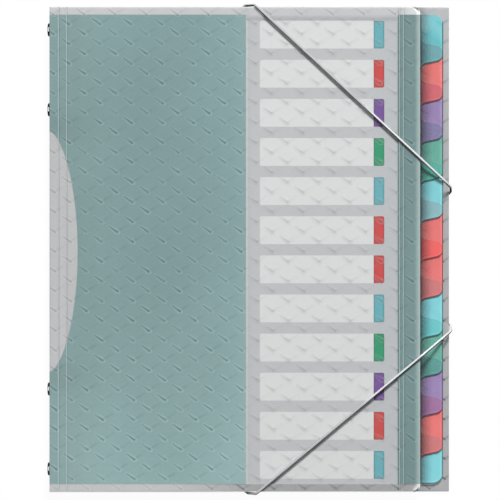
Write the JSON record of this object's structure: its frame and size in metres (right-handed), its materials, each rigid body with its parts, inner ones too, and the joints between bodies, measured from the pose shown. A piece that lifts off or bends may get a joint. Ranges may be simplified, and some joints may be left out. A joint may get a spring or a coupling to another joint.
{
  "type": "divider folder",
  "caption": "Flat A4 folder with a creased plastic cover, tabbed dividers on a pleated, riveted spine gusset and two corner elastics.",
  "frame": {"origin": "middle of the box that holds the whole folder, on the surface that it lies on", "axes": "+X from the spine to the fore-edge, +Y to the top edge, +Z out of the front cover, with the folder lying closed on its back cover"},
  "size_m": [0.2564, 0.3108, 0.0182],
  "materials": {
    "printed_cover": "embossed satin, reverse printed",
    "clear_cover": "embossed satin, frosted clear",
    "pleats": "satin",
    "index_paper": "matt, printed",
    "divider_cyan": "satin translucent",
    "divider_red": "satin translucent",
    "divider_purple": "satin translucent",
    "divider_green": "satin translucent",
    "bright_steel": "bright plated",
    "plain_steel": "plain plated",
    "elastic_cord": "braided"
  },
  "bodies": {
    "back": {"back_cover": "clear_cover", "elastic_top": "elastic_cord", "elastic_top_edge_end": "elastic_cord", "elastic_top_side_end": "elastic_cord", "elastic_top_edge_barb": "plain_steel", "elastic_top_side_barb": "plain_steel", "elastic_bottom": "elastic_cord", "elastic_bottom_edge_end": "elastic_cord", "elastic_bottom_side_end": "elastic_cord", "elastic_bottom_edge_barb": "plain_steel", "elastic_bottom_side_barb": "plain_steel"},
    "spine": {"spine_panel": "printed_cover", "gusset": "pleats", "rivet_1": "bright_steel", "rivet_2": "bright_steel", "rivet_3": "bright_steel", "rivet_4": "bright_steel", "rivet_washer_1": "plain_steel", "rivet_washer_2": "plain_steel", "rivet_washer_3": "plain_steel", "rivet_washer_4": "plain_steel", "front_lip": "printed_cover"},
    "front": {"front_link": "printed_cover", "front_cover": "printed_cover"},
    "leaf_index": {"index_sheet": "index_paper"},
    "leaf_01": {"divider_01": "divider_cyan"},
    "leaf_02": {"divider_02": "divider_red"},
    "leaf_03": {"divider_03": "divider_purple"},
    "leaf_04": {"divider_04": "divider_green"},
    "leaf_05": {"divider_05": "divider_cyan"},
    "leaf_06": {"divider_06": "divider_red"},
    "leaf_07": {"divider_07": "divider_red"},
    "leaf_08": {"divider_08": "divider_cyan"},
    "leaf_09": {"divider_09": "divider_green"},
    "leaf_10": {"divider_10": "divider_purple"},
    "leaf_11": {"divider_11": "divider_red"},
    "leaf_12": {"divider_12": "divider_cyan"}
  },
  "joints": [
    {"name": "spine_fold", "type": "hinge", "parent": "back", "child": "spine", "pos_m": [-0.12675, 0, 0.00195], "axis": [0, -1, 0], "range_deg": [0, 90], "deforming": ["elastic_top", "elastic_bottom"]},
    {"name": "front_cover_turn", "type": "hinge", "parent": "spine", "child": "front", "pos_m": [-0.12095, 0, 0.0163], "axis": [0, -1, 0], "range_deg": [0, 92]},
    {"name": "index_turn", "type": "hinge", "parent": "spine", "child": "leaf_index", "pos_m": [-0.11525, 0, 0.01503], "axis": [0, -1, 0], "range_deg": [0, 72]},
    {"name": "divider_01_turn", "type": "hinge", "parent": "spine", "child": "leaf_01", "pos_m": [-0.11525, 0, 0.01413], "axis": [0, -1, 0], "range_deg": [0, 62]},
    {"name": "divider_02_turn", "type": "hinge", "parent": "spine", "child": "leaf_02", "pos_m": [-0.11525, 0, 0.01323], "axis": [0, -1, 0], "range_deg": [0, 51]},
    {"name": "divider_03_turn", "type": "hinge", "parent": "spine", "child": "leaf_03", "pos_m": [-0.11525, 0, 0.01232], "axis": [0, -1, 0], "range_deg": [0, 40]},
    {"name": "divider_04_turn", "type": "hinge", "parent": "spine", "child": "leaf_04", "pos_m": [-0.11525, 0, 0.01142], "axis": [0, -1, 0], "range_deg": [0, 29]},
    {"name": "divider_05_turn", "type": "hinge", "parent": "spine", "child": "leaf_05", "pos_m": [-0.11525, 0, 0.01052], "axis": [0, -1, 0], "range_deg": [0, 17]},
    {"name": "divider_06_turn", "type": "hinge", "parent": "spine", "child": "leaf_06", "pos_m": [-0.11525, 0, 0.00962], "axis": [0, -1, 0], "range_deg": [0, 6]},
    {"name": "divider_07_turn", "type": "hinge", "parent": "spine", "child": "leaf_07", "pos_m": [-0.11525, 0, 0.00873], "axis": [0, -1, 0], "range_deg": [-6, 0]},
    {"name": "divider_08_turn", "type": "hinge", "parent": "spine", "child": "leaf_08", "pos_m": [-0.11525, 0, 0.00783], "axis": [0, -1, 0], "range_deg": [-17, 0]},
    {"name": "divider_09_turn", "type": "hinge", "parent": "spine", "child": "leaf_09", "pos_m": [-0.11525, 0, 0.00692], "axis": [0, -1, 0], "range_deg": [-29, 0]},
    {"name": "divider_10_turn", "type": "hinge", "parent": "spine", "child": "leaf_10", "pos_m": [-0.11525, 0, 0.00602], "axis": [0, -1, 0], "range_deg": [-40, 0]},
    {"name": "divider_11_turn", "type": "hinge", "parent": "spine", "child": "leaf_11", "pos_m": [-0.11525, 0, 0.00513], "axis": [0, -1, 0], "range_deg": [-51, 0]},
    {"name": "divider_12_turn", "type": "hinge", "parent": "spine", "child": "leaf_12", "pos_m": [-0.11525, 0, 0.00422], "axis": [0, -1, 0], "range_deg": [-62, 0]}
  ],
  "couplings": [
    {"joint": "front_cover_turn", "follows": "spine_fold", "ratio": 1.02},
    {"joint": "index_turn", "follows": "spine_fold", "ratio": 0.79},
    {"joint": "divider_01_turn", "follows": "spine_fold", "ratio": 0.6875},
    {"joint": "divider_02_turn", "follows": "spine_fold", "ratio": 0.5625},
    {"joint": "divider_03_turn", "follows": "spine_fold", "ratio": 0.4375},
    {"joint": "divider_04_turn", "follows": "spine_fold", "ratio": 0.3125},
    {"joint": "divider_05_turn", "follows": "spine_fold", "ratio": 0.1875},
    {"joint": "divider_06_turn", "follows": "spine_fold", "ratio": 0.0625},
    {"joint": "divider_07_turn", "follows": "spine_fold", "ratio": -0.0625},
    {"joint": "divider_08_turn", "follows": "spine_fold", "ratio": -0.1875},
    {"joint": "divider_09_turn", "follows": "spine_fold", "ratio": -0.3125},
    {"joint": "divider_10_turn", "follows": "spine_fold", "ratio": -0.4375},
    {"joint": "divider_11_turn", "follows": "spine_fold", "ratio": -0.5625},
    {"joint": "divider_12_turn", "follows": "spine_fold", "ratio": -0.6875}
  ]
}
